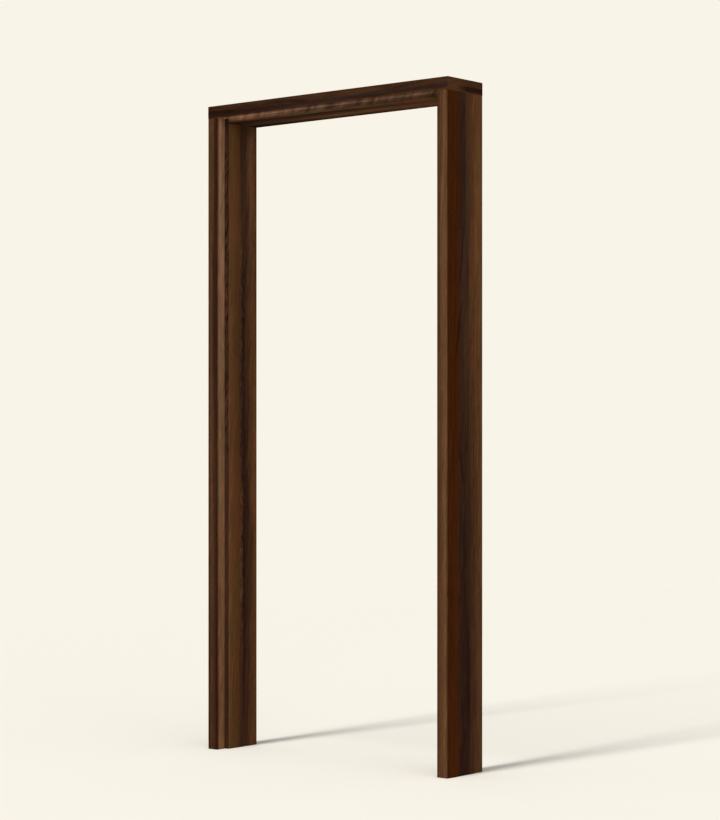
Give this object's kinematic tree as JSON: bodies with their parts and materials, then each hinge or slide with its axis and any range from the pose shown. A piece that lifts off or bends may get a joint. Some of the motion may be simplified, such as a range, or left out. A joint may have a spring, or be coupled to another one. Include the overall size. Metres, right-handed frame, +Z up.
{
  "type": "door frame",
  "caption": "Dark wooden door frame with a single rebate: two jambs under a full-width head, butt jointed with dowels and screws, with no threshold or leaf.",
  "frame": {"origin": "on the floor, midway across the frame and midway through its depth", "axes": "+Z up, +X across the frame to the right as seen from the rebated front, -Y towards the rebated front"},
  "size_m": [0.985, 0.175, 2.1],
  "materials": {
    "head_wood": "satin",
    "left_jamb_wood": "satin",
    "right_jamb_wood": "satin",
    "screw_steel": "zinc plated",
    "dowel_wood": "raw"
  },
  "bodies": {
    "root": {"head": "head_wood", "left_jamb": "left_jamb_wood", "right_jamb": "right_jamb_wood", "left_corner_screws": "screw_steel", "right_corner_screws": "screw_steel", "left_corner_dowels": "dowel_wood", "right_corner_dowels": "dowel_wood"}
  },
  "joints": []
}
